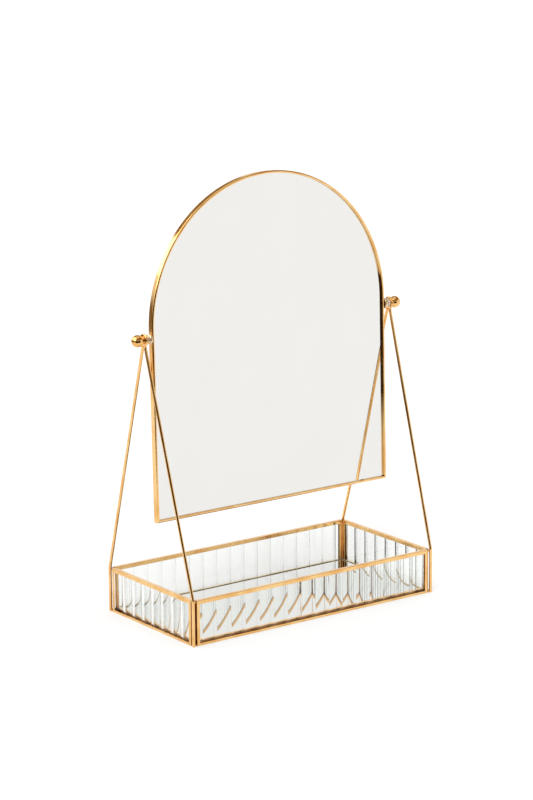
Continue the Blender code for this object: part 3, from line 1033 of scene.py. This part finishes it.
@dataclass
class TiltingMirror:
    """The arched mirror in its rebated brass strip, leaning back a little on its pivots.

    Attributes:
        tilt_deg: how far the top leans back at rest.
        drop: how far the frame's lower edge lies below the pivot axis.
        spring: how far the arch's centre lies above the pivot axis.
        depth: the frame's depth, front to back.
        lip: how far the front lip covers the glass.
        wall: the thickness of the frame's wall.
        recess: how far the lip's back lies behind the frame's front.
        arch_steps: how many steps the arch has.
        fold: how far the strip's front outer corner is rounded.
        corner: how far its other corners are rounded.
        mitre_fill: how much of the CAD's gap at each mitre the solder fills.
        seat: the CAD's gap between the frame and what it holds.
        glass: the mirror glass's thickness.
        glass_arris: how far the glass's edges are rounded.
        board_arris: how far the board's edges are rounded.
        radius: the arch's outer radius, from the CAD.
        lean: the matrix that leans the mirror back on the CAD's pivot.
    """

    tilt_deg: float = 1.2
    drop: float = 0.1885
    spring: float = 0.0075
    depth: float = 0.0064
    lip: float = 0.0025
    wall: float = 0.0008
    recess: float = 0.0025
    arch_steps: int = 96
    fold: float = 0.0015
    corner: float = 0.0003
    mitre_fill: float = 0.00003
    seat: float = 0.0003
    glass: float = 0.002
    glass_arris: float = 0.0004
    board_arris: float = 0.0003
    radius: float = field(init=False)
    lean: Matrix = field(init=False)

    def __post_init__(self) -> None:
        """Work out the arch's radius and the leaning matrix from the frame."""
        width = Extent.of("mirror_bottom_rail").size.x
        self.radius = width / 2 + self.seat / math.sqrt(2)
        tilt = next(joint for joint in frame["joints"] if joint["name"] == "mirror_tilt")
        turned = Matrix.Rotation(-math.radians(self.tilt_deg), 4, "X")
        self.lean = Matrix.Translation(tilt["pos_m"]) @ turned

    def section(self) -> list[tuple[float, float]]:
        """Give the strip's rebated section, as (distance in from the outline, depth)."""
        front = -self.depth / 2
        shoulder = front + self.recess
        return [(0.0, front), (0.0, -front), (self.wall, -front), (self.wall, shoulder),
                (self.lip, shoulder), (self.lip, front)]

    def section_face(self, bm: BMesh, points: list[tuple[float, float, float]]) -> BMFace:
        """Make the section's face with its outer corners rounded.

        Args:
            bm: the mesh.
            points: the section's corners, in the order of section().

        Returns:
            The face.
        """
        front_outer, back_outer, *_, front_inner = points
        corners = list(flat_face(bm, points).verts)
        round_over(bm, corners[:1], self.fold, segments=8, affect="VERTICES")
        for point in (front_inner, back_outer):
            at_point = [vert for vert in bm.verts
                        if (vert.co - Vector(point)).length < MERGE_DISTANCE]
            round_over(bm, at_point, self.corner, segments=3, affect="VERTICES")
        return next(iter(bm.faces))

    def build(self) -> None:
        """Build the frame's two strips, the glass and the backing board."""
        self.build_arch()
        self.build_bottom_strip()
        front = self.recess - self.depth / 2 + self.seat
        back = front + self.glass
        self.build_plate("mirror_glass", "arched_mirror_glass", SILVER, front, back,
                         self.glass_arris)
        self.build_plate("mirror_backing", "arched_backing_board", BOARD, back + self.seat,
                         self.depth / 2, self.board_arris)

    def build_arch(self) -> None:
        """Bend one strip up the left, over the arch and down the right."""
        bm = bmesh.new()
        points = [(inset - self.radius, depth, -self.drop) for inset, depth in self.section()]
        foot = self.section_face(bm, points)
        for vert in foot.verts:
            vert.co.z += vert.co.x + self.radius + self.mitre_fill
        top = extrude(bm, foot, Vector())
        for vert in top.verts:
            vert.co.z = self.spring
        spun = bmesh.ops.spin(bm, geom=[top], cent=(0.0, 0.0, self.spring), axis=(0.0, 1.0, 0.0),
                              angle=math.pi, steps=self.arch_steps)
        end = extrude(bm, face_of(spun, "geom_last"), Vector())
        for vert in end.verts:
            vert.co.z = self.radius - vert.co.x + self.mitre_fill - self.drop
        bm.transform(self.lean)
        finish_piece("mirror_arch_strip", bm, BRASS_BENT, "mirror", "mirror_arch_frame")

    def build_bottom_strip(self) -> None:
        """Build the straight lower strip, mitred to the uprights."""
        bm = bmesh.new()
        reach = self.radius - self.mitre_fill
        points = [(-reach, depth, inset - self.drop) for inset, depth in self.section()]
        start = self.section_face(bm, points)
        for vert in start.verts:
            vert.co.x += vert.co.z + self.drop
        end = extrude(bm, start, Vector())
        for vert in end.verts:
            vert.co.x *= -1.0
        bm.transform(self.lean)
        finish_piece("mirror_bottom_strip", bm, BRASS_ALONG_X, "mirror", "mirror_bottom_rail")

    def build_plate(self, node: str, name: str, finish: Finish, front: float, back: float,
                    arris: float) -> None:
        """Build a flat plate that fills the frame's outline.

        Args:
            node: the CAD node that it replaces.
            name: the piece's name.
            finish: its finish.
            front: its front face's depth.
            back: its back face's depth.
            arris: how far its edges are rounded.
        """
        inset = self.wall + self.seat
        radius = self.radius - inset
        bm = bmesh.new()
        spring = bm.verts.new((-radius, front, self.spring))
        spun = bmesh.ops.spin(bm, geom=[spring], cent=(0.0, 0.0, self.spring),
                              axis=(0.0, 1.0, 0.0), angle=math.pi, steps=self.arch_steps)
        other = verts_of(spun, "geom_last")[0]
        feet = [bm.verts.new((x, front, inset - self.drop)) for x in (-radius, radius)]
        for pair in ((spring, feet[0]), (feet[0], feet[1]), (feet[1], other)):
            bm.edges.new(pair)
        bmesh.ops.contextual_create(bm, geom=list(bm.edges))
        extrude(bm, next(iter(bm.faces)), Vector((0.0, back - front, 0.0)))
        outline = [edge for edge in bm.edges
                   if abs(edge.verts[0].co.y - edge.verts[1].co.y) < MERGE_DISTANCE]
        round_over(bm, outline, arris, segments=2)
        bm.transform(self.lean)
        finish_piece(name, bm, finish, "mirror", node)


@dataclass
class PivotHardware:
    """The turned pieces on the pivot axis: boss, stud, washer and ball knob on each side.

    Attributes:
        neck_radius: the radius of the knob's neck.
        bead: the radius of the bead round the neck.
        edge: how far the other edges are rounded, and how far the ball runs into its neck.
        nose_share: the boss's radius at the washer, as a share of its radius at the frame.
        bead_share: the radius of the boss's two beads, as a share of its length.
    """

    neck_radius: float = 0.0036
    bead: float = 0.0005
    edge: float = 0.0003
    nose_share: float = 0.773
    bead_share: float = 0.27

    def build(self) -> None:
        """Build both sides."""
        for side, word in SIDES:
            self.build_boss(side, word)
            self.build_washer(side, word)
            self.build_knob(side, word)
            self.dress_stud(word)

    def build_boss(self, side: int, word: str) -> None:
        """Build the tapered boss brazed to the mirror's frame.

        Args:
            side: -1 for the left, 1 for the right.
            word: the side's name.
        """
        extent = Extent.of(f"pivot_boss_{word}")
        foot, nose = extent.reach
        wide = extent.size.z / 2
        narrow = wide * self.nose_share
        bead = (nose - foot) * self.bead_share
        profile = [(foot, STUD_BORE), (foot, wide - self.edge)]
        profile += arc((foot + bead, wide - bead), bead, start_deg=160.0, end_deg=25.0, steps=8)
        profile += arc((nose - bead, narrow - bead), bead, start_deg=130.0, end_deg=0.0, steps=8)
        profile += [(nose, STUD_BORE)]
        bm = turn(profile, side, extent.middle.z)
        # The collar takes the painted highlight: a pale silver cream.
        finish_piece(f"{word}_pivot_collar", bm, PAINTED_HIGHLIGHT_BRASS, "mirror", f"pivot_boss_{word}")

    def build_washer(self, side: int, word: str) -> None:
        """Build the nylon washer between boss and eyelet.

        Args:
            side: -1 for the left, 1 for the right.
            word: the side's name.
        """
        extent = Extent.of(f"friction_washer_{word}")
        inner, outer = extent.reach
        rim = extent.size.z / 2
        edge = self.edge / 2
        profile = [(inner, STUD_BORE), (inner, rim - edge), (inner + edge, rim),
                   (outer - edge, rim), (outer, rim - edge), (outer, STUD_BORE)]
        bm = turn(profile, side, extent.middle.z)
        finish_piece(f"{word}_nylon_washer", bm, NYLON, "mirror", f"friction_washer_{word}")

    def build_knob(self, side: int, word: str) -> None:
        """Build the ball knob with its neck and a bead round the neck.

        Args:
            side: -1 for the left, 1 for the right.
            word: the side's name.
        """
        extent = Extent.of(f"ball_knob_{word}")
        face, tip = extent.reach
        ball = extent.size.z / 2
        meets = 180.0 - math.degrees(math.asin((self.neck_radius - self.edge) / ball))
        bore_end = Extent.of(f"pivot_stud_{word}").reach[1] + self.edge
        profile = [(bore_end, 0.0), (bore_end, STUD_BORE), (face, STUD_BORE),
                   (face, self.neck_radius)]
        profile += arc((face + self.bead, self.neck_radius), self.bead,
                       start_deg=120.0, end_deg=0.0, steps=6)
        profile += arc((tip - ball, 0.0), ball, start_deg=meets, end_deg=0.0, steps=36)
        profile[-1] = (tip, 0.0)
        bm = turn(profile, side, extent.middle.z)
        finish_piece(f"{word}_ball", bm, BRASS_TURNED, f"{word}_knob", f"ball_knob_{word}")

    def dress_stud(self, word: str) -> None:
        """Give the CAD stud, nearly all hidden, the turned brass finish.

        Args:
            word: the side's name.
        """
        stud = frame["nodes"][f"pivot_stud_{word}"]
        for slot in stud.material_slots:
            slot.material = BRASS_TURNED.material()
        LOG.info("pivot_stud_%s: dressed", word)


# ---- Studio ----


def matt_material(name: str, tone: str, shine: str, glow: float) -> Material:
    """Make a plain matt material for the stage.

    Args:
        name: its name.
        tone: its colour in the light.
        shine: the colour that it glows with.
        glow: how strongly it glows.

    Returns:
        The material.
    """
    material = bpy.data.materials.new(name)
    material.use_nodes = True
    feed(material.node_tree.nodes["Principled BSDF"], {
        "Base Color": linear(tone), "Roughness": 1.0, "Specular IOR Level": 0.0,
        "Emission Color": linear(shine), "Emission Strength": glow})
    return material


@dataclass(frozen=True)
class StudioCard:
    """A curved card that only polished brass reflects: a dark or brown streak, or a softbox.

    Attributes:
        name: the card's name.
        start_deg: the bearing of its first edge, counted from +X towards +Y.
        end_deg: the bearing of its other edge.
        foot: the distance from the object and the height of its lower edge.
        head: the distance from the object and the height of its upper edge.
        tone: its colour.
        fade: how much of its height, from the top, it takes to thin out to nothing.
        glow: how strongly it shines, or nothing for a card that only stands in the light.
        steps: how many steps its curve has.
        first_bounce: the glossy depth below which a ray has bounced once at most.
    """

    name: str
    start_deg: float
    end_deg: float
    foot: tuple[float, float]
    head: tuple[float, float]
    tone: str
    fade: float
    glow: float = 0.0
    steps: int = 48
    first_bounce: float = 1.5

    def build(self) -> None:
        """Stand the card on the stage."""
        bm = bmesh.new()
        turned = Matrix.Rotation(math.radians(self.start_deg), 3, "Z")
        verts = [bm.verts.new(turned @ Vector((reach, 0.0, height)))
                 for reach, height in (self.foot, self.head)]
        edge = bm.edges.new(verts)
        bmesh.ops.spin(bm, geom=verts + [edge], cent=(0.0, 0.0, 0.0), axis=UP,
                       angle=math.radians(self.end_deg - self.start_deg), steps=self.steps)
        card = make_object(self.name, bm, self.cloth())
        card.data.shade_smooth()
        card.visible_camera = False
        card.visible_diffuse = False
        card.visible_transmission = False
        card.visible_shadow = False

    def cloth(self) -> Material:
        """Make the card's cloth, which flat mirrors and glass look straight through.

        Returns:
            The material.
        """
        base = "#000000" if self.glow > 0.0 else self.tone
        material = matt_material(self.name, base, self.tone, self.glow)
        tree = material.node_tree
        path = add_node(tree, "ShaderNodeLightPath").outputs
        first = add_node(tree, "ShaderNodeMath", {
            0: path["Glossy Depth"], 1: self.first_bounce}, operation="LESS_THAN")
        looked_through = add_node(tree, "ShaderNodeMath", {
            0: path["Is Singular Ray"], 1: first.outputs[0]}, operation="MULTIPLY")
        place = add_node(tree, "ShaderNodeTexCoord").outputs["Object"]
        height = add_node(tree, "ShaderNodeSeparateXYZ", {0: place}).outputs["Z"]
        bottom, top = self.foot[1], self.head[1]
        thin = add_node(tree, "ShaderNodeMapRange", {
            "Value": height, "From Min": top - self.fade * (top - bottom), "From Max": top,
            "To Min": 0.0, "To Max": 1.0}, interpolation_type="SMOOTHSTEP")
        gone = add_node(tree, "ShaderNodeMath", {
            0: looked_through.outputs[0], 1: thin.outputs[0]}, operation="MAXIMUM")
        clear = add_node(tree, "ShaderNodeBsdfTransparent")
        cloth = add_node(tree, "ShaderNodeMixShader", {
            0: gone.outputs[0], 1: tree.nodes["Principled BSDF"].outputs[0], 2: clear.outputs[0]})
        feed(tree.nodes["Material Output"], {"Surface": cloth.outputs[0]})
        return material


CARDS = (
    StudioCard("dark_card_at_front", 200.0, 288.0, (0.8, 0.0), (1.1, 0.85), "#3A2A17", 0.5),
    StudioCard("brown_card_at_left", 104.0, 200.0, (1.52, 0.0), (1.52, 0.55), "#7A6140", 0.4),
    StudioCard("softbox_at_left", 112.0, 205.0, (1.7, 0.8), (1.5, 2.6), "#FFFFFF", 0.15, glow=3.2),
    StudioCard("brown_canopy", 205.0, 472.0, (1.6, 1.05), (1.2, 3.0), "#94784A", 0.3),
)


@dataclass
class Studio:
    """A plain pale floor, a white surround, a large soft key light and the camera.

    Attributes:
        floor_reach: half the floor's width.
        floor_tone: the floor's colour in the light.
        floor_glow: how strongly it glows, which keeps it pale under the object.
        surround: the colour of the surround and of the floor's glow.
        surround_strength: how strongly the surround shines.
        key_strength: the key light's strength.
        key_spread_deg: how wide the key light looks from the object.
        key_from: where it hangs.
        camera_place: where the camera stands.
        heading_deg: the way it looks, counted from +Y towards +X.
        pitch_deg: how far it looks down.
        roll_deg: how far it leans to its side.
        lens_mm: its focal length.
        clip_end: how far it sees.
    """

    floor_reach: float = 30.0
    floor_tone: str = "#D2D2D1"
    floor_glow: float = 0.36
    surround: str = "#FFFFFF"
    surround_strength: float = 1.0
    key_strength: float = 0.7
    key_spread_deg: float = 25.0
    key_from: tuple[float, float, float] = (-1.6, -1.2, 2.4)
    camera_place: tuple[float, float, float] = (-1.6326, -2.2369, 0.8655)
    heading_deg: float = 36.034
    pitch_deg: float = 13.191
    roll_deg: float = -0.449
    lens_mm: float = 124.36
    clip_end: float = 100.0

    def build(self) -> None:
        """Lay the floor, set the lights and cards, and place the camera."""
        self.lay_floor()
        self.light_surround()
        self.set_key_light()
        for card in CARDS:
            card.build()
        self.place_camera()

    def lay_floor(self) -> None:
        """Lay the plain pale floor."""
        bm = bmesh.new()
        bmesh.ops.create_grid(bm, x_segments=1, y_segments=1, size=self.floor_reach)
        paper = matt_material("matt_paper_sweep", self.floor_tone, self.surround, self.floor_glow)
        make_object("studio_floor", bm, paper)

    def light_surround(self) -> None:
        """Light the stage evenly from a white surround."""
        world = bpy.data.worlds.new("white_surround")
        world.use_nodes = True
        feed(world.node_tree.nodes["Background"], {
            "Color": linear(self.surround), "Strength": self.surround_strength})
        bpy.context.scene.world = world

    def set_key_light(self) -> None:
        """Hang one large soft key light at the upper left."""
        lamp = bpy.data.lights.new("key_softbox", "SUN")
        lamp.energy = self.key_strength
        lamp.angle = math.radians(self.key_spread_deg)
        key = bpy.data.objects.new("key_softbox", lamp)
        key.location = self.key_from
        key.rotation_euler = (-Vector(self.key_from)).to_track_quat("-Z", "Y").to_euler()
        bpy.context.scene.collection.objects.link(key)

    def place_camera(self) -> None:
        """Place the camera at the product view."""
        heading, pitch, roll = (math.radians(angle) for angle in (
            self.heading_deg, self.pitch_deg, self.roll_deg))
        forward = Vector((math.sin(heading) * math.cos(pitch),
                          math.cos(heading) * math.cos(pitch), -math.sin(pitch)))
        level = Vector((math.cos(heading), -math.sin(heading), 0.0))
        upright = level.cross(forward)
        right = level * math.cos(roll) + upright * math.sin(roll)
        up = upright * math.cos(roll) - level * math.sin(roll)
        lens = bpy.data.cameras.new("product_camera")
        lens.lens = self.lens_mm
        lens.clip_end = self.clip_end
        camera = bpy.data.objects.new("product_camera", lens)
        camera.matrix_world = axes_matrix(Vector(self.camera_place), right, up, -forward)
        bpy.context.scene.collection.objects.link(camera)
        bpy.context.scene.camera = camera
        bpy.context.scene.view_settings.view_transform = "Standard"


def main() -> None:
    """Build every sub-assembly, then the studio round it."""
    logging.basicConfig(level=logging.INFO, format="%(name)s: %(message)s")
    FlutedTray().build()
    LegFrames().build()
    TiltingMirror().build()
    PivotHardware().build()
    Studio().build()


if __name__ == "__main__":
    main()
